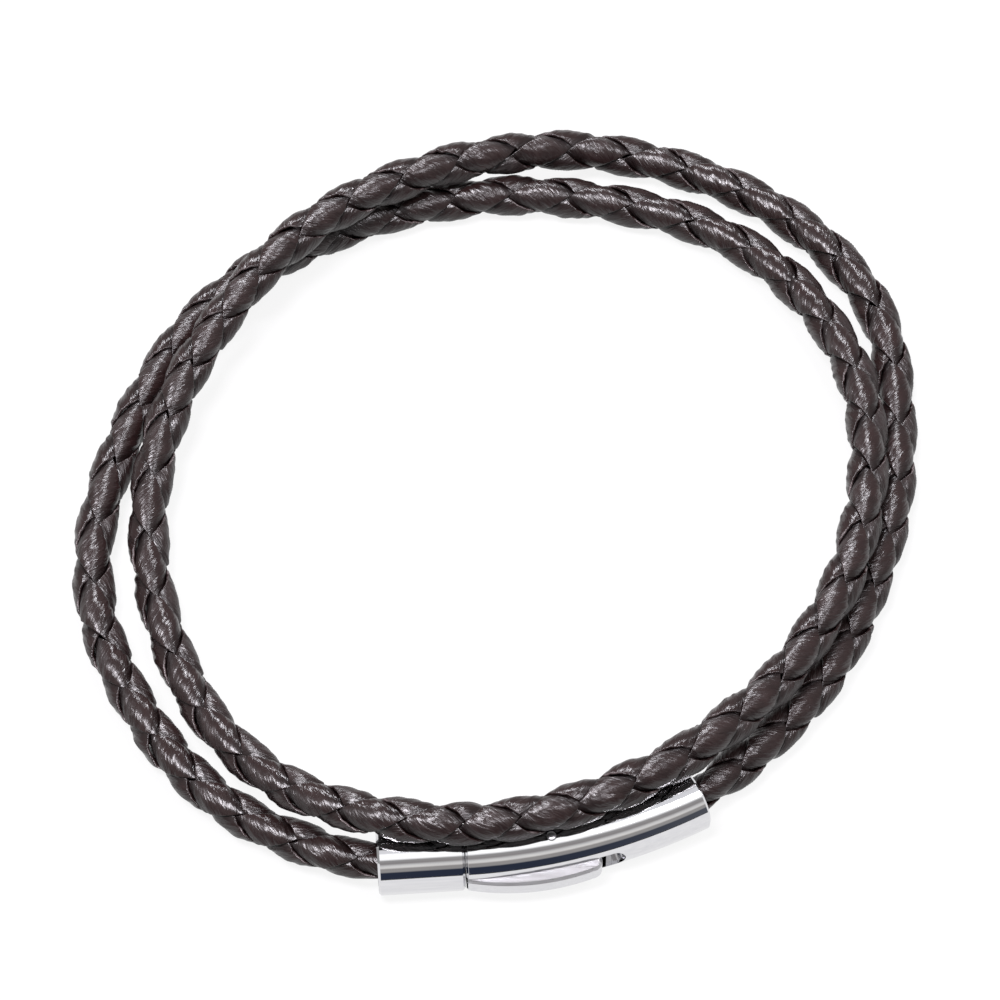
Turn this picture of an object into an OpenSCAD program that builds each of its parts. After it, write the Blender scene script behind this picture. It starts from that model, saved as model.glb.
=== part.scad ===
// Braided leather bracelet: one round cord of four strips that goes twice round the
// wrist, closed by a two-part steel clasp with a lever. Millimetres. It lies on the
// surface Z = 0 with the clasp towards -Y, and the origin is under the middle of its outline.

/* [Cord] */
// Diameter of the round braid over its strips
cord_d = 4; // [3.8:0.05:4.1]
// Length of cord in which a strip goes once round it
pitch = 12.2; // [12:0.1:13]
// Width of a leather strip where it lies on top
over_w = 2.4; // [2:0.05:2.4]
// Thickness of a strip where it lies on top
over_t = 0.7; // [0.5:0.02:0.7]
// Width of a strip between over and under
dive_w = 1.48; // [1.3:0.02:1.5]
// Thickness of a strip between over and under
dive_t = 1.04; // [0.9:0.02:1.04]
// Width of a strip where it runs underneath
under_w = 1.24; // [1:0.02:1.24]
// Thickness of a strip where it runs underneath
under_t = 0.64; // [0.5:0.02:0.64]
// Share of its width over which a strip has its full thickness
strip_flat = 0.55; // [0.4:0.05:0.6]
// Turn of a strip on its edge between over and under, in degrees
dive_turn = 30; // [20:1:30]
// Size of the braid where it is pressed into the clasp, as a share of its free size
squeeze = 0.86; // [0.8:0.01:0.92]

/* [Clasp] */
// Outside diameter of both tubes
tube_d = 6; // [6:0.05:6.2]
// Radius of the curve of the long tube, measured at its axis
bend_r = 52; // [50:1:54]
// Length of the long curved tube along its axis
barrel_l = 22.2; // [22:0.1:22.5]
// Length of the short straight tube
cap_l = 8; // [7.9:0.1:8.3]
// Depth of the cord's hole in the short tube
cap_socket = 6.3; // [6.2:0.05:6.5]
// Diameter of the holes that the cord is glued into
socket_d = 4.4; // [4.35:0.05:4.6]
// Gap between the two tubes when they are closed
seam = 0.1; // [0.05:0.01:0.15]
// Bevel at the ends of the tubes
rim = 0.22; // [0.1:0.01:0.3]

/* [Lever] */
// Width of the slot in the long tube
slot_w = 2.1; // [2:0.05:2.2]
// Play of the lever in the slot, above and below it
play = 0.1; // [0.08:0.01:0.15]
// Radius of the lever's outer edge
crest_r = 20.8; // [20.5:0.1:21]
// Diameter of the hinge pin
pin_d = 0.9; // [0.8:0.02:0.94]
// Radial play of the lever and the tube on the pin
pin_play = 0.05; // [0.03:0.01:0.08]

/* [Hidden] */
$fn = 96;
eps = 0.01;

// Where the two tubes meet, on the clasp's axis, and the way that axis points there.
seam_at = [-3.2, -39.25, 3];
seam_turn = 4;

// Stations along the axis of the long tube, counted from the seam.
chamber_d = 4.6;
chamber_l = 10.2;
socket_from = 15.8;
slot_l = 12.5;
slot_depth = 0.5;

// The shallow end of the slot past the lever: the middle of its round end, its floor's
// distance from the axis, and how much higher the floor of the round end lies.
recess_end = 13;
recess_floor = 2.1;
recess_step = 0.05;

// The tongue on the short tube and the notch in it for the lever's nose: [from, to] along X.
tongue_x = [-1.5, 4.5];
tongue_y = [-0.5, 1.5];
tongue_h = 2.6;
notch_x = [0.8, 2.3];
notch_y = 0.3;

// The lever, seen along the pin.
crest_at = [5.12, 17.18];
lever_x = [0.12, 11.43];
lever_y = -1.2;
lever_h = slot_w - 2 * play;
lever_tip = [11.43, -1.6];
lever_tip_r = 1;
lever_bevel = 0.25;
nose_x = [1, 2.1];
nose_y = 0.15;
pin_at = [7.89, 0.15];
lug_r = 1;
pin_l = 6.1;
pin_dome = 0.15;

// The cord's middle line: control points of a uniform cubic B-spline. It leaves the long
// tube, goes round the right and the far side, over itself at the upper left, down inside
// on the left, over the clasp, up inside on the right, along the far side, under itself
// and round outside on the left to the short tube.
route = [
    [5.5, -38, 3], [10.5, -36.5, 3], [15.5, -35, 3], [22.5, -29, 2.2],
    [29.5, -22, 2.1], [34.5, -12, 2.1], [38, -1, 2.1], [38.5, 10, 2.1],
    [38, 21.5, 2.1], [31, 31.5, 2.1], [22, 37.5, 2.2], [10.5, 41.5, 1.9],
    [0, 38.5, 5.5], [-10, 34.5, 6.6], [-20, 28.5, 6.4], [-27, 19, 5.5],
    [-32, 9.5, 4.2], [-34, -2, 3.1], [-32.5, -13, 2.6], [-28, -24.5, 3.6],
    [-21, -33, 4.9], [-10.5, -38.5, 8.4], [0.5, -39, 8.2], [12, -35, 8.5],
    [20.5, -28.5, 7.1], [28, -20, 5.5], [33.5, -9.5, 5.9], [35.5, 2, 5.4],
    [35, 13, 4.1], [30, 24, 2.5], [22, 31.5, 2.1], [11, 35, 2.1],
    [-0.5, 36, 2.1], [-11.5, 33.5, 2.1], [-22, 28.5, 2.1], [-30.5, 20.5, 2.1],
    [-35, 10.5, 2.1], [-38.5, -0.5, 2.1], [-39, -12, 2.1], [-34.5, -22.5, 2.1],
    [-27.5, -32.5, 2.1], [-18.5, -37.5, 2.1], [-11, -40.2, 3.1], [-5, -39.5, 3],
    [0, -39, 3]
];

// Length of the route before the cord starts, inside the long tube.
cord_from = 2;
// Length from the cord's start to the first place where strip_1 lies on top and faces this way.
first_over = 8.5;
facing = [0, -0.53, 0.85];
// Stretches at both ends over which the braid is pressed, then swells to its free size.
pressed = [6.7, 6];
swell = 5;
// Rings of corners in one pitch of a strip.
rings = 8;
// Where the middle of a strip runs, as shares of the cord's radius: its mean, how far it goes
// out and in as it passes over and under, and how much further out it is between them.
strip_mean = 0.51;
strip_wave = 0.29;
strip_lift = 0.075;

// Position on the route: t counts spans, with the B-spline's four weights.
function route_at(t) =
    let (i = min(floor(t), len(route) - 4), f = t - i)
    (pow(1 - f, 3) * route[i]
        + (3 * pow(f, 3) - 6 * f * f + 4) * route[i + 1]
        + (-3 * pow(f, 3) + 3 * f * f + 3 * f + 1) * route[i + 2]
        + pow(f, 3) * route[i + 3]) / 6;

// Length along the route, as a table of [length, t] in small steps.
table_step = 0.05;
t_end = len(route) - 3;
length_table = [
    for (t = 0, s = 0;
         t <= t_end + eps;
         s = s + norm(route_at(min(t + table_step, t_end)) - route_at(min(t, t_end))),
         t = t + table_step)
        [s, min(t, t_end)]
];
cord_l = length_table[len(length_table) - 1][0] - cord_from;

function unit(v) = v / norm(v);

// Frame of the cord at a length s from its start: [place, along, sideways, facing].
function frame_at(s) =
    let (t = lookup(s + cord_from, length_table),
         along = unit(route_at(min(t + table_step, t_end)) - route_at(max(t - table_step, 0))),
         side = unit(cross(along, facing)))
    [route_at(t), along, side, cross(side, along)];

// Smooth step from 0 to 1 as x goes from a to b.
function ease(x, a, b) = let (f = max(0, min(1, (x - a) / (b - a)))) f * f * (3 - 2 * f);

// Size of the braid at a length s, as a share of its free size.
function size_at(s) =
    squeeze + (1 - squeeze) * min(
        ease(s, pressed[0], pressed[0] + swell),
        ease(cord_l - s, pressed[1], pressed[1] + swell));

// Cross section of a strip, a flat hexagon: [across, outwards], from its left edge.
strip_section = [
    [-1, 0], [-strip_flat, 1], [strip_flat, 1],
    [1, 0], [strip_flat, -1], [-strip_flat, -1]
];
sides = len(strip_section);

// A size of a strip that is [underneath, between, on top], where over is -1, 0 and 1 there.
function at_over(sizes, over) =
    sizes[1] + (sizes[2] - sizes[1]) * max(over, 0) + (sizes[0] - sizes[1]) * max(-over, 0);

// Corners of one ring of strip k at a length s. Strips 0 and 1 wind one way and 2 and 3 the
// other, each over one and under one, and a strip turns on its edge between over and under.
function strip_ring(k, s) =
    let (way = k < 2 ? 1 : -1,
         frame = frame_at(s),
         winding = 360 * (s - first_over) / pitch,
         turn = way * winding + 180 * (k % 2) + 90,
         over = way * cos(2 * winding),
         share = size_at(s),
         radius = share * cord_d / 2,
         reach = radius * (strip_mean + strip_wave * over + strip_lift * (1 - over * over)),
         half_w = share * at_over([under_w, dive_w, over_w], over) / 2,
         half_t = share * at_over([under_t, dive_t, over_t], over) / 2,
         out = frame[2] * cos(turn) + frame[3] * sin(turn),
         around = frame[3] * cos(turn) - frame[2] * sin(turn),
         lean = atan(PI * strip_mean * cord_d / pitch),
         run = frame[1] * cos(lean) + around * (way * sin(lean)),
         flat = cross(run, out),
         tilt = -dive_turn * sin(2 * winding),
         across = flat * cos(tilt) + out * sin(tilt),
         rise = out * cos(tilt) - flat * sin(tilt))
    [for (p = strip_section) frame[0] + out * reach + across * (p[0] * half_w) + rise * (p[1] * half_t)];

// One strip of the braid as a closed skin. Its quads are cut along the diagonal that runs
// with the strip's turn, so that crossing strips stay clear of each other.
module strip(k) {
    step = pitch / rings;
    before = floor(first_over / step);
    ring_count = before + floor((cord_l - first_over) / step);
    points = [for (i = [0 : ring_count]) each strip_ring(k, first_over + (i - before) * step)];
    skin = [
        for (i = [0 : ring_count - 1], j = [0 : sides - 1])
            let (a = i * sides + j, b = i * sides + (j + 1) % sides, c = a + sides, d = b + sides)
            each (k < 2 ? [[a, b, c], [b, d, c]] : [[a, b, d], [a, d, c]])
    ];
    first = [for (j = [sides - 1 : -1 : 0]) j];
    last = [for (j = [0 : sides - 1]) ring_count * sides + j];
    polyhedron(points, concat([first], skin, [last]), convexity = 20);
}

module at_clasp() translate(seam_at) rotate(seam_turn) children();

// A flat shape carried along the long tube's axis from one station to another. In the
// shape X points outwards, away from the wrist, and Y is up.
module along_barrel(from, to)
    translate([0, bend_r, 0])
        rotate(-90 + from / bend_r * 180 / PI)
            rotate_extrude(angle = (to - from) / bend_r * 180 / PI)
                translate([bend_r, 0])
                    children();

// A disc whose outline starts on the wrist's side, clear of the slot and the pin.
module disc_from_inside(d) rotate(180) circle(d = d);

// Places its children at a station of the long tube, with Z along the axis.
module at_station(s)
    translate([0, bend_r, 0])
        rotate(s / bend_r * 180 / PI)
            translate([0, -bend_r, 0])
                rotate([0, 90, 0])
                    children();

// What is cut from a tube's end to bevel it at 45 degrees: the tube lies on the +Z side of
// the cut, which reaches a margin past both sides of the bevel.
module bevel_cut(margin = 1) translate([0, 0, -margin]) difference() {
    cylinder(d = tube_d + 3 * margin, h = rim + 2 * margin);
    cylinder(d1 = tube_d - 2 * rim - 2 * margin, d2 = tube_d + 2 * margin, h = rim + 2 * margin);
}

// A disc with both of its edges bevelled.
module bevelled_disc(r, h, bevel) {
    translate([0, 0, -h / 2]) cylinder(r1 = r - bevel, r2 = r, h = bevel);
    translate([0, 0, -h / 2 + bevel]) cylinder(r = r, h = h - 2 * bevel);
    translate([0, 0, h / 2 - bevel]) cylinder(r1 = r, r2 = r - bevel, h = bevel);
}

module pin_hole() translate(pin_at) cylinder(r = pin_d / 2 + pin_play, h = tube_d + 1, center = true);

module barrel() color("silver") at_clasp() difference() {
    along_barrel(0, barrel_l) disc_from_inside(tube_d);
    along_barrel(-1, chamber_l) disc_from_inside(chamber_d);
    along_barrel(socket_from, barrel_l + 1) disc_from_inside(socket_d);
    along_barrel(-1, slot_l) translate([-slot_depth, -slot_w / 2]) square([tube_d, slot_w]);
    along_barrel(slot_l - eps, recess_end) translate([recess_floor, -slot_w / 2]) square([tube_d, slot_w]);
    at_station(recess_end) rotate([90, 0, 0]) rotate(-90)
        translate([0, 0, recess_floor + recess_step]) cylinder(d = slot_w, h = tube_d);
    pin_hole();
    at_station(0) bevel_cut();
    at_station(barrel_l) mirror([0, 0, 1]) bevel_cut();
}

module end_cap() color("silver") at_clasp() {
    difference() {
        translate([-cap_l, 0, 0]) rotate([0, 90, 0]) cylinder(d = tube_d, h = cap_l - seam);
        translate([-cap_l - 1, 0, 0]) rotate([0, 90, 0]) cylinder(d = socket_d, h = cap_socket + 1);
        translate([-cap_l, 0, 0]) rotate([0, 90, 0]) bevel_cut();
        translate([-seam, 0, 0]) rotate([0, -90, 0]) bevel_cut();
    }
    difference() {
        translate([tongue_x[0], tongue_y[0], -tongue_h / 2])
            cube([tongue_x[1] - tongue_x[0], tongue_y[1] - tongue_y[0], tongue_h]);
        translate([notch_x[0], tongue_y[0] - 1, -tongue_h])
            cube([notch_x[1] - notch_x[0], notch_y - tongue_y[0] + 1, 2 * tongue_h]);
    }
}

module lever() color("gray") at_clasp() difference() {
    union() {
        intersection() {
            translate(crest_at) bevelled_disc(crest_r, lever_h, lever_bevel);
            translate([lever_x[0], -6, -lever_h / 2])
                cube([lever_x[1] - lever_x[0], 6 + lever_y, lever_h]);
        }
        translate(lever_tip) bevelled_disc(lever_tip_r, lever_h, lever_bevel);
        translate([pin_at[0] - lug_r, lever_y - eps, -lever_h / 2])
            cube([2 * lug_r, pin_at[1] - lever_y + eps, lever_h]);
        translate(pin_at) cylinder(r = lug_r, h = lever_h, center = true);
        translate([nose_x[0], lever_y - eps, -lever_h / 2])
            cube([nose_x[1] - nose_x[0], nose_y - lever_y + eps, lever_h]);
    }
    pin_hole();
}

// A straight pin with a low dome at each end.
module hinge_pin() color("silver") at_clasp() translate(pin_at) {
    cylinder(d = pin_d, h = pin_l - 2 * pin_dome, center = true);
    for (end = [-1, 1])
        translate([0, 0, end * (pin_l / 2 - pin_dome)])
            scale([1, 1, 2 * pin_dome / pin_d])
                sphere(d = pin_d);
}

color("#3b2016") strip(0);  // strand_1
color("#40251a") strip(1);  // strand_2
color("#3b2016") strip(2);  // strand_3
color("#40251a") strip(3);  // strand_4
barrel();
end_cap();
lever();
hinge_pin();
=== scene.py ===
import bpy
import numpy as np
from mathutils import Euler, Matrix, Vector


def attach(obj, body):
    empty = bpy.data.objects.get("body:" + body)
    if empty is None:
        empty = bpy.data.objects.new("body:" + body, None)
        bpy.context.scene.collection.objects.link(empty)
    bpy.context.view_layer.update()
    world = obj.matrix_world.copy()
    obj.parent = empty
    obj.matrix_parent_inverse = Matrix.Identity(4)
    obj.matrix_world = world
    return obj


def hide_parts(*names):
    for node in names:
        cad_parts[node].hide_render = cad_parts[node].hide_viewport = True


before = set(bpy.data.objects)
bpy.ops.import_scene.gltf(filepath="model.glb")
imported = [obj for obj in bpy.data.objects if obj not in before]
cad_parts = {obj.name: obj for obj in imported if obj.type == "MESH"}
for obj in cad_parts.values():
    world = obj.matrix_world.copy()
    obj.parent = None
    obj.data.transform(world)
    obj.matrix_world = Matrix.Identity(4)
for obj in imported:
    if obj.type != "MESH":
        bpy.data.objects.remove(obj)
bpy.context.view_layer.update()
mm = 0.001


# Camera: looks along +Y and down on the loop, as in the photograph
camera = {
    "elevation": 58,         # degrees
    "distance": 450, "aim": (0, 1, 0), "lens": 168.48, "sensor": 36, "clip": (10, 20000),
}
elevation = np.radians(camera["elevation"])
toCamera = np.array([0, -np.cos(elevation), np.sin(elevation)])


def makeCamera():
    data = bpy.data.cameras.new("camera")
    data.lens = camera["lens"]
    data.sensor_width = camera["sensor"]
    data.clip_start, data.clip_end = (x * mm for x in camera["clip"])
    eye = bpy.data.objects.new("camera", data)
    eye.location = Vector(camera["aim"]) * mm + Vector(toCamera) * camera["distance"] * mm
    eye.rotation_euler = Euler((np.pi / 2 - elevation, 0, 0))
    bpy.context.scene.collection.objects.link(eye)
    bpy.context.scene.camera = eye


makeCamera()
print("camera is placed")


# Closed mesh of a grid of points[ring, around, xyz]: quads between neighbours, the last column
# joined to the first, and one face over each end.
def tubeMesh(name, points, attributes, uv):
    rings, around = points.shape[:2]
    index = np.arange(rings * around).reshape(rings, around)
    following = np.roll(index, -1, 1)
    quads = np.stack([index[:-1], following[:-1], following[1:], index[1:]], -1).reshape(-1, 4)
    loops = np.concatenate([quads.ravel(), index[0, ::-1], index[-1]])
    starts = np.append(np.arange(len(quads) + 1) * 4, len(quads) * 4 + around)
    totals = np.append(np.full(len(quads), 4), [around, around])
    mesh = bpy.data.meshes.new(name)
    mesh.vertices.add(rings * around)
    mesh.vertices.foreach_set("co", points.reshape(-1).astype(np.float32))
    mesh.loops.add(len(loops))
    mesh.loops.foreach_set("vertex_index", loops.astype(np.int32))
    mesh.polygons.add(len(starts))
    mesh.polygons.foreach_set("loop_start", starts.astype(np.int32))
    mesh.polygons.foreach_set("loop_total", totals.astype(np.int32))
    mesh.polygons.foreach_set("use_smooth", np.ones(len(starts), bool))
    mesh.update(calc_edges=True)
    for label, values in attributes:
        layer = mesh.attributes.new(label, "FLOAT", "POINT")
        layer.data.foreach_set("value", values.reshape(-1).astype(np.float32))
    layer = mesh.uv_layers.new(name="UVMap")
    layer.data.foreach_set("uv", uv.reshape(-1, 2)[loops].reshape(-1).astype(np.float32))
    mesh.validate()
    piece = bpy.data.objects.new(name, mesh)
    bpy.context.scene.collection.objects.link(piece)
    return piece


# The cord's middle line, the same points as in the part's source
cord = {
    "route": [
        (5.5, -38, 3), (10.5, -36.5, 3), (15.5, -35, 3), (22.5, -29, 2.2),
        (29.5, -22, 2.1), (34.5, -12, 2.1), (38, -1, 2.1), (38.5, 10, 2.1),
        (38, 21.5, 2.1), (31, 31.5, 2.1), (22, 37.5, 2.2), (10.5, 41.5, 1.9),
        (0, 38.5, 5.5), (-10, 34.5, 6.6), (-20, 28.5, 6.4), (-27, 19, 5.5),
        (-32, 9.5, 4.2), (-34, -2, 3.1), (-32.5, -13, 2.6), (-28, -24.5, 3.6),
        (-21, -33, 4.9), (-10.5, -38.5, 8.4), (0.5, -39, 8.2), (12, -35, 8.5),
        (20.5, -28.5, 7.1), (28, -20, 5.5), (33.5, -9.5, 5.9), (35.5, 2, 5.4),
        (35, 13, 4.1), (30, 24, 2.5), (22, 31.5, 2.1), (11, 35, 2.1),
        (-0.5, 36, 2.1), (-11.5, 33.5, 2.1), (-22, 28.5, 2.1), (-30.5, 20.5, 2.1),
        (-35, 10.5, 2.1), (-38.5, -0.5, 2.1), (-39, -12, 2.1), (-34.5, -22.5, 2.1),
        (-27.5, -32.5, 2.1), (-18.5, -37.5, 2.1), (-11, -40.2, 3.1), (-5, -39.5, 3),
        (0, -39, 3),
    ],
    "from": 2,               # length of the route before the cord starts, inside the long tube
    "pressed": (6.7, 6),     # lengths at both ends that are pressed into the clasp
    "swell": 5,              # length over which it then swells to its free size
    "squeeze": 0.86,         # its size where it is pressed, as a share of the free size
    # Leaf number and length along the route where that leaf's middle faces the camera
    "marks": [(0, 10.5), (3, 28), (7, 52), (11, 79.5), (16, 110.5), (25, 164), (31, 204.5),
              (34, 221.5), (35, 226), (38, 242.5), (46, 292.5), (52, 331), (57, 360.5),
              (59, 370), (65, 411), (71, 445.5)],
    "perSpan": 240,          # samples in one span of the route
}


# Middle line of the cord as dense samples: a uniform cubic B-spline of the route's points, with
# its length and two directions across it, the last one as near as can be to the direction of
# the camera. Here t counts spans, i is the span and f the share of it that is passed.
def cordLine():
    route = np.array(cord["route"], float)
    spans = len(route) - 3
    t = np.linspace(0, spans - 1e-9, spans * cord["perSpan"])   # stops inside the last span
    i = t.astype(int)
    f = (t - i)[:, None]
    places = ((1 - f) ** 3 * route[i] + (3 * f ** 3 - 6 * f ** 2 + 4) * route[i + 1]
              + (-3 * f ** 3 + 3 * f ** 2 + 3 * f + 1) * route[i + 2] + f ** 3 * route[i + 3]) / 6
    steps = np.linalg.norm(np.diff(places, axis=0), axis=1)
    length = np.concatenate([[0], np.cumsum(steps)])
    along = np.gradient(places, axis=0)
    along /= np.linalg.norm(along, axis=1)[:, None]
    side = np.cross(along, toCamera)
    side /= np.linalg.norm(side, axis=1)[:, None]
    return length, places, side, np.cross(side, along)


lineLength, linePlaces, lineSide, lineUp = cordLine()


# Samples of the middle line's values at lengths s, each axis by itself.
def onLine(values, s):
    return np.stack([np.interp(s, lineLength, values[:, axis]) for axis in range(3)], -1)


# Rises from 0 at low to 1 at high as 3 f squared less 2 f cubed, level at both ends.
def smoothStep(x, low, high):
    f = np.clip((x - low) / (high - low), 0, 1)
    return f * f * (3 - 2 * f)


# Leather strips of the braid. Turns are angles round the cord, in radians.
strip = {
    "crown": 2.0,         # how far the middle of a leaf stands from the cord's middle line
    "dive": 0.95,         # how much deeper a strip runs under its neighbour
    "diveSharp": 2.7,     # power of the dive: higher keeps the leaf flatter
    "halfTurn": 1.37,     # half the strip's width as a turn
    "sway": 0.2,          # how much slower the edge turns where it shows
    "swayAt": -0.27,      # where along a leaf the edge turns slowest, in leaves
    "droop": 0.16, "droopSharp": 2.6,   # rounding towards the long edges
    "thick": 0.72, "edgeThick": 0.28,
    "outerShare": 0.985, "innerShare": 0.94,      # the faces' widths, as shares of the strip's
    "rimDepth": 0.05,     # how far the rim of a cut edge lies below the outer face
    "edgeShare": 0.8,     # where the cut edge ends below, as a share of its thickness
    "fill": 0.3,          # how much thicker a strip is where it dives, up to the cord's middle
    "fillSharp": 4,
    "inset": 0.05,        # how much shorter a strip is than the cord, at each end
    "samples": 20000,     # samples of the leaf number along the cord
    "ringsPerLeaf": 40,
    "across": 19,         # points over the outer face
    "crowd": 0.93,        # how much they crowd towards the edges, up to 1
    "under": 6,           # points over the inner face
    # Millimetres on the strip per length of the cord, and half its width along and across it
    "uvAlong": 1.42, "uvSlant": 1.84, "uvAcross": 1.87,
    "uvApart": 7.3,       # how far the patterns of the four strips lie apart
    "drift": 0.06,        # how far a leaf wanders round the cord, and out of it
    "swell": 0.035,
    "uneven": 0.035,      # how much its width varies, as a share
    "fold": 0.034,        # height of the soft folds
    "folds": 26,          # number of waves that they are made of
    "foldLow": (1.5, -2, 0), "foldHigh": (8, 2, 6.28),   # waves along and across, and phase
    "seed": 5,
}


# Leaf coordinate of the braid at lengths s, continued past the table at its mean pitch.
def leafNumber(s):
    leaf, place = np.array(cord["marks"], float).T
    mean = (leaf[-1] - leaf[0]) / (place[-1] - place[0])
    inside = np.interp(s, place, leaf)
    return np.where(s < place[0], leaf[0] + (s - place[0]) * mean,
                    np.where(s > place[-1], leaf[-1] + (s - place[-1]) * mean, inside))


# Closed profile of a strip: share of the half width, depth below the outer face, part of the
# extra thickness, and whether the point is on the upper rim of a cut edge.
def stripProfile():
    angles = np.linspace(1, -1, strip["across"]) * np.pi / 2 * strip["crowd"]
    outer = np.sin(angles) / np.sin(angles[0])
    inner = np.linspace(-strip["innerShare"], strip["innerShare"], strip["under"])
    edge = strip["edgeThick"]
    upper, lower = strip["rimDepth"], edge * strip["edgeShare"]
    depth = edge + (strip["thick"] - edge) * (1 - inner ** 2)
    share = np.concatenate([outer * strip["outerShare"], [-1, -1], inner, [1, 1]])
    below = np.concatenate([0 * outer, [upper, lower], depth, [lower, upper]])
    filled = np.concatenate([0 * outer, [0, 0], 1 - inner ** 2, [0, 0]])
    rim = np.concatenate([0 * outer, [1, 0], 0 * inner, [0, 1]])
    return share, below, filled, rim


# Wander with one random value every few rings and straight lines between them.
def wander(count, steps, amount, rng):
    knots = rng.normal(size=steps) * amount
    return np.interp(np.linspace(0, steps - 1, count), np.arange(steps), knots)


# Soft folds: a sum of sine waves of random phase over the strip's own length and width, most
# of them crosswise.
def softFolds(uv, rng):
    height = np.zeros(uv.shape[:2])
    waves = rng.uniform(strip["foldLow"], strip["foldHigh"], (strip["folds"], 3))
    for lengthwise, crosswise, phase in waves:
        height += np.sin(uv[..., 0] * lengthwise + uv[..., 1] * crosswise + phase)
    return height * strip["fold"] / np.sqrt(strip["folds"] / 2)


# Size of the braid at lengths s, as a share of its free size: smaller in the clasp's sockets.
def braidSize(s):
    fromStart = s - cord["from"]
    fromEnd = lineLength[-1] - s
    first, last = cord["pressed"]
    free = np.minimum(smoothStep(fromStart, first, first + cord["swell"]),
                      smoothStep(fromEnd, last, last + cord["swell"]))
    return cord["squeeze"] + (1 - cord["squeeze"]) * free


# One strip. Its long edges are curves of turn against length: a steady turn, less a wave that
# slows it where it shows. Between them it stands off the cord's middle line by the crown, less
# a power of the sine of its place between over and under. Its way is 1 or -1, the two ways
# round; turnFrom is the angle it starts at, and leafShift the part of a leaf it starts later.
def makeStrip(number, way, turnFrom, leafShift):
    rng = np.random.default_rng(strip["seed"] + number)
    dense = np.linspace(cord["from"] + strip["inset"], lineLength[-1] - strip["inset"],
                        strip["samples"])
    leafAt = leafNumber(dense)
    leaves = int(leafAt[-1] - leafAt[0])
    count = leaves * strip["ringsPerLeaf"]
    leaf = np.linspace(leafAt[0], leafAt[-1], count)
    s = np.interp(leaf, leafAt, dense)
    share, below, filled, rim = stripProfile()
    phase = way * (leaf - leafShift) * np.pi

    def edge(phase):
        wave = np.sin(2 * (phase - strip["swayAt"] * np.pi))
        return phase + strip["halfTurn"] - strip["sway"] * wave

    left, right = edge(phase), -edge(-phase)
    middle = (left + right) / 2 + wander(count, leaves, strip["drift"], rng)
    half = (left - right) / 2 * (1 + wander(count, leaves * 2, strip["uneven"], rng))
    turn = middle[:, None] + half[:, None] * share
    sunk = np.abs(np.sin((phase[:, None] + turn) / 2))
    along = s[:, None] * strip["uvAlong"] + way * share * strip["uvSlant"]
    across = np.repeat((share * strip["uvAcross"])[None], count, 0) + number * strip["uvApart"]
    uv = np.stack([along, across], -1)
    height = strip["crown"] - strip["dive"] * sunk ** strip["diveSharp"]
    height -= strip["droop"] * np.abs(share) ** strip["droopSharp"] + below
    height -= strip["fill"] * filled * sunk ** strip["fillSharp"]
    height += wander(count, leaves, strip["swell"], rng)[:, None] + softFolds(uv, rng)
    height *= braidSize(s)[:, None] * mm
    angle = turn + turnFrom
    points = (onLine(linePlaces, s)[:, None] * mm
              + (height * np.cos(angle))[..., None] * onLine(lineUp, s)[:, None]
              - (height * np.sin(angle))[..., None] * onLine(lineSide, s)[:, None])
    piece = tubeMesh(f"leather_strip_{number}", points, uv=uv,
                     attributes=[("rim", np.repeat(rim[None], count, 0)), ("sunk", sunk)])
    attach(piece, "root")
    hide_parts(f"strand_{number}")
    return piece


strips = [
    makeStrip(1, 1, 0, 0),
    makeStrip(2, 1, np.pi, 0),
    makeStrip(3, -1, np.pi / 2, 0.5),
    makeStrip(4, -1, -np.pi / 2, 0.5),
]
triangles = sum(len(piece.data.loops) - 2 * len(piece.data.polygons) for piece in strips)
print("leather strips are braided:", triangles, "triangles")


# Sets a node's inputs by name: another node's output is linked, a value is set.
def setInputs(tree, node, inputs):
    for key, value in inputs.items():
        if isinstance(value, bpy.types.NodeSocket):
            tree.links.new(value, node.inputs[key])
        else:
            node.inputs[key].default_value = value


def addNode(tree, kind, inputs=None, **settings):
    node = tree.nodes.new(kind)
    for key, value in settings.items():
        setattr(node, key, value)
    setInputs(tree, node, inputs or {})
    return node


# Colour between two others. The node's colour inputs are at 6 and 7, its colour output at 2.
def mixColors(tree, factor, first, second):
    node = addNode(tree, "ShaderNodeMix", {0: factor, 6: first, 7: second}, data_type="RGBA")
    return node.outputs[2]


# Maps a value from the limits to 0 to 1 where side is From, or from 0 to 1 to the limits where
# it is To.
def mapRange(tree, value, side, limits):
    node = addNode(tree, "ShaderNodeMapRange", {
        "Value": value, f"{side} Min": limits[0], f"{side} Max": limits[1]})
    return node.outputs["Result"]


def newMaterial(name):
    material = bpy.data.materials.new(name)
    material.use_nodes = True
    return material, material.node_tree, material.node_tree.nodes["Principled BSDF"]


leather = {
    "dark": (0.0046, 0.0024, 0.0023, 1), "light": (0.0185, 0.0095, 0.0092, 1),
    # painted shade where a strip dives under its neighbour, then the paler raw leather of cut
    # edges
    "paintedShade": (0.0042, 0.0024, 0.0024, 1), "rim": (0.12, 0.1, 0.1, 1),
    "worn": (0.5, 0.62),          # where the mottling leaves the rim pale
    "paintedShadeAt": (0.45, 0.85),         # where painted shade darkens the strip as it dives
    "roughness": (0.25, 0.35), "specular": 0.39, "anisotropic": 0.9,
    "coat": 0.12, "coatRoughness": 0.15,
    "wrinkles": (3.6, 0.6, 1),    # per mm along the strip and across it
    "wrinkleNoise": {"Scale": 1, "Detail": 2, "Roughness": 0.45, "Distortion": 0.7},
    "wrinkleDepth": 0.13,
    "grain": 8, "grainDepth": 0.003,             # cells per mm, and their depth
    "tone": {"Scale": 0.5, "Detail": 5},         # mottling
}
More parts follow.
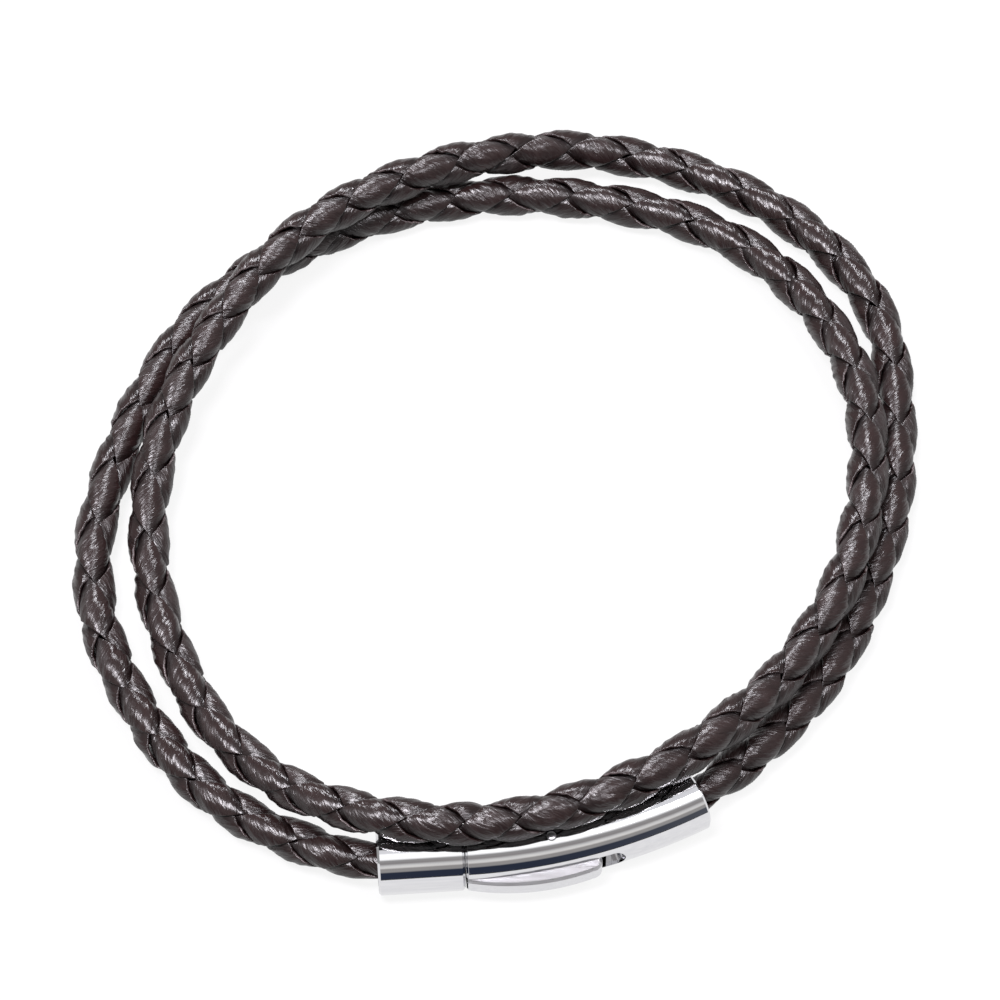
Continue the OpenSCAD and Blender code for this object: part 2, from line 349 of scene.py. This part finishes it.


# Waxed leather: mottled brown, with painted shade where the strip dives under its neighbour, and
# here and there paler on the rim of its cut edges. Its gloss is stretched along the strip and
# broken up by crosswise wrinkles.
def leatherMaterial():
    material, tree, shader = newMaterial("waxed leather")
    uv = addNode(tree, "ShaderNodeUVMap", uv_map="UVMap").outputs["UV"]
    sunk = addNode(tree, "ShaderNodeAttribute", attribute_name="sunk").outputs["Fac"]
    rim = addNode(tree, "ShaderNodeAttribute", attribute_name="rim").outputs["Fac"]
    stretched = addNode(tree, "ShaderNodeMapping", {"Vector": uv, "Scale": leather["wrinkles"]})
    wrinkles = addNode(tree, "ShaderNodeTexNoise", {
        "Vector": stretched.outputs["Vector"], **leather["wrinkleNoise"]}).outputs["Fac"]
    grain = addNode(tree, "ShaderNodeTexVoronoi", {"Vector": uv, "Scale": leather["grain"]})
    tone = addNode(tree, "ShaderNodeTexNoise", {"Vector": uv, **leather["tone"]}).outputs["Fac"]
    color = mixColors(tree, tone, leather["dark"], leather["light"])
    # painted shade: darker where the strip dives under its neighbour
    paintedShadeAt = mapRange(tree, sunk, "From", leather["paintedShadeAt"])
    color = mixColors(tree, paintedShadeAt, color, leather["paintedShade"])
    worn = mapRange(tree, tone, "From", leather["worn"])
    paler = addNode(tree, "ShaderNodeMath", {0: rim, 1: worn}, operation="MULTIPLY")
    color = mixColors(tree, paler.outputs[0], color, leather["rim"])
    fine = addNode(tree, "ShaderNodeBump", {
        "Height": grain.outputs["Distance"], "Strength": 1,
        "Distance": leather["grainDepth"] * mm})
    coarse = addNode(tree, "ShaderNodeBump", {
        "Height": wrinkles, "Strength": 1, "Normal": fine.outputs["Normal"],
        "Distance": leather["wrinkleDepth"] * mm})
    tangent = addNode(tree, "ShaderNodeTangent", direction_type="UV_MAP", uv_map="UVMap")
    setInputs(tree, shader, {
        "Base Color": color, "Roughness": mapRange(tree, wrinkles, "To", leather["roughness"]),
        "Normal": coarse.outputs["Normal"], "Coat Normal": coarse.outputs["Normal"],
        "Tangent": tangent.outputs["Tangent"], "Anisotropic": leather["anisotropic"],
        "Specular IOR Level": leather["specular"], "Coat Weight": leather["coat"],
        "Coat Roughness": leather["coatRoughness"]})
    return material


steel = {
    "dark": (0.64, 0.64, 0.66, 1), "light": (0.7, 0.7, 0.71, 1),
    "polish": {"roughness": (0.035, 0.05), "scratches": 3},     # roughness, and scratches per mm
    "satin": {"roughness": (0.26, 0.40), "scratches": 11},
    "stretch": (0.05, 1, 1), "scratchDetail": 5, "spread": (0.3, 0.7),
}


# Node group of fine scratches along X: a mask from 0 to 1.
def scratchGroup():
    group = bpy.data.node_groups.new("scratches", "ShaderNodeTree")
    group.interface.new_socket("Per metre", in_out="INPUT", socket_type="NodeSocketFloat")
    group.interface.new_socket("Mask", in_out="OUTPUT", socket_type="NodeSocketFloat")
    entry = addNode(group, "NodeGroupInput")
    place = addNode(group, "ShaderNodeTexCoord").outputs["Object"]
    stretched = addNode(group, "ShaderNodeMapping", {"Vector": place, "Scale": steel["stretch"]})
    noise = addNode(group, "ShaderNodeTexNoise", {
        "Vector": stretched.outputs["Vector"], "Scale": entry.outputs["Per metre"],
        "Detail": steel["scratchDetail"]})
    mask = mapRange(group, noise.outputs["Fac"], "From", steel["spread"])
    addNode(group, "NodeGroupOutput", {"Mask": mask})
    return group


def steelMaterial(name, finish, scratches):
    material, tree, shader = newMaterial(name)
    group = addNode(tree, "ShaderNodeGroup", node_tree=scratches)
    setInputs(tree, group, {"Per metre": finish["scratches"] / mm})
    mask = group.outputs["Mask"]
    setInputs(tree, shader, {
        "Base Color": mixColors(tree, mask, steel["light"], steel["dark"]),
        "Roughness": mapRange(tree, mask, "To", finish["roughness"]), "Metallic": 1})
    return material


def dress(piece, material):
    piece.data.materials.clear()
    piece.data.materials.append(material)


leatherLook = leatherMaterial()
for piece in strips:
    dress(piece, leatherLook)
scratches = scratchGroup()
polished = steelMaterial("polished steel", steel["polish"], scratches)
satin = steelMaterial("satin steel", steel["satin"], scratches)
for node in ("barrel", "end_cap"):
    dress(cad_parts[node], polished)
for node in ("lever", "hinge_pin"):
    dress(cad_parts[node], satin)
print("materials are made")

# Floor, light and surroundings
studio = {
    "floor": {"size": 4000, "color": 0.06, "glow": 0.87},   # pale by its own light
    "softboxes": [
        {"at": (-200, -150, 860), "size": (300, 210), "watts": 13, "color": (0.98, 0.94, 1)},
        {"at": (330, -145, 815), "size": (250, 220), "watts": 4, "color": (0.98, 0.94, 1)},
        {"at": (-60, 560, 600), "size": (230, 130), "watts": 5.5, "color": (0.96, 0.95, 1)},
    ],
    # A dark card on the floor on the camera's side, seen only in reflections
    "card": {"from": -120, "to": -1500, "halfWidth": 1500, "height": 0.05, "color": 0.008},
    "matt": {"Roughness": 0.9, "Specular IOR Level": 0.1, "Emission Color": (1, 1, 1, 1)},
    # Surroundings from the camera's side over the top to the far side: degrees and colour
    "sky": [(0, (0.03, 0.038, 0.065)), (23, (0.03, 0.038, 0.065)), (27, (0.38, 0.37, 0.37)),
            (37, (0.4, 0.38, 0.37)), (42, (0.95, 0.93, 0.9)), (48, (0.85, 0.84, 0.83)),
            (56, (0.34, 0.32, 0.32)), (66, (0.4, 0.39, 0.39)), (72, (1.5, 1.5, 1.5)),
            (89, (1.5, 1.5, 1.5)), (93, (1, 1, 1.03)), (104, (0.95, 0.95, 0.98)),
            (112, (0.5, 0.48, 0.48)), (150, (0.45, 0.43, 0.43)), (180, (0.45, 0.43, 0.43))],
    "sideSky": (0.4, 0.4, 0.4, 1),
    "sideFade": 4,        # power of the fade towards the sides
}


# A flat rectangle of the stage from two opposite corners at one height.
def stagePlane(name, low, high, height, material):
    corners = [(low[0], low[1]), (high[0], low[1]), (high[0], high[1]), (low[0], high[1])]
    mesh = bpy.data.meshes.new(name)
    mesh.from_pydata([(x * mm, y * mm, height * mm) for x, y in corners], [], [(0, 1, 2, 3)])
    mesh.materials.append(material)
    plane = bpy.data.objects.new(name, mesh)
    bpy.context.scene.collection.objects.link(plane)
    return plane


def plainMaterial(name, brightness, glow):
    material, tree, shader = newMaterial(name)
    setInputs(tree, shader, {"Base Color": (brightness, brightness, brightness, 1),
                             "Emission Strength": glow, **studio["matt"]})
    return material


def makeFloor():
    settings = studio["floor"]
    half = settings["size"] / 2
    look = plainMaterial("pale floor", settings["color"], settings["glow"])
    floor = stagePlane("floor", (-half, -half), (half, half), 0, look)
    floor.visible_diffuse = False      # its glow would light the undersides too much


def makeCard():
    settings = studio["card"]
    half = settings["halfWidth"]
    look = plainMaterial("black card", settings["color"], 0)
    card = stagePlane("card", (-half, settings["to"]), (half, settings["from"]),
                      settings["height"], look)
    card.visible_camera = card.visible_diffuse = card.visible_shadow = False


# A rectangular soft light that faces the bracelet, its long sides in the plane of X and up.
def makeSoftbox(settings):
    data = bpy.data.lights.new("softbox", "AREA")
    data.shape = "RECTANGLE"
    data.size, data.size_y = (x * mm for x in settings["size"])
    data.energy = settings["watts"]
    data.color = settings["color"]
    light = bpy.data.objects.new("softbox", data)
    light.location = Vector(settings["at"]) * mm
    back = light.location.normalized()
    wide = (Vector((1, 0, 0)) - back * back.x).normalized()
    light.rotation_euler = Matrix((wide, back.cross(wide), back)).transposed().to_euler()
    bpy.context.scene.collection.objects.link(light)


# Surroundings in bands that run over the bracelet from side to side: their colour follows the
# angle in the plane of up and depth, and fades to an even grey towards both sides.
def makeWorld():
    world = bpy.data.worlds.new("studio")
    world.use_nodes = True
    tree = world.node_tree
    place = addNode(tree, "ShaderNodeTexCoord").outputs["Generated"]
    split = addNode(tree, "ShaderNodeSeparateXYZ", {"Vector": place})
    nearer = addNode(tree, "ShaderNodeMath", {0: split.outputs["Y"], 1: -1},
                     operation="MULTIPLY")
    angle = addNode(tree, "ShaderNodeMath", {0: split.outputs["Z"], 1: nearer.outputs[0]},
                    operation="ARCTAN2")
    lowest, highest = studio["sky"][0][0], studio["sky"][-1][0]
    share = mapRange(tree, angle.outputs[0], "From", np.radians([lowest, highest]))
    ramp = addNode(tree, "ShaderNodeValToRGB", {"Fac": share})
    stops = ramp.color_ramp.elements
    stops.remove(stops[1])
    for degrees, color in studio["sky"]:
        position = (degrees - lowest) / (highest - lowest)
        stop = stops.new(position) if position else stops[0]
        stop.color = (*color, 1)
    sideways = addNode(tree, "ShaderNodeMath", {0: split.outputs["X"], 1: studio["sideFade"]},
                       operation="POWER")
    color = mixColors(tree, sideways.outputs[0], ramp.outputs["Color"], studio["sideSky"])
    setInputs(tree, tree.nodes["Background"], {"Color": color})
    bpy.context.scene.world = world


makeFloor()
makeCard()
for settings in studio["softboxes"]:
    makeSoftbox(settings)
makeWorld()
bpy.context.scene.view_settings.view_transform = "Standard"
print("floor, light and surroundings are set")
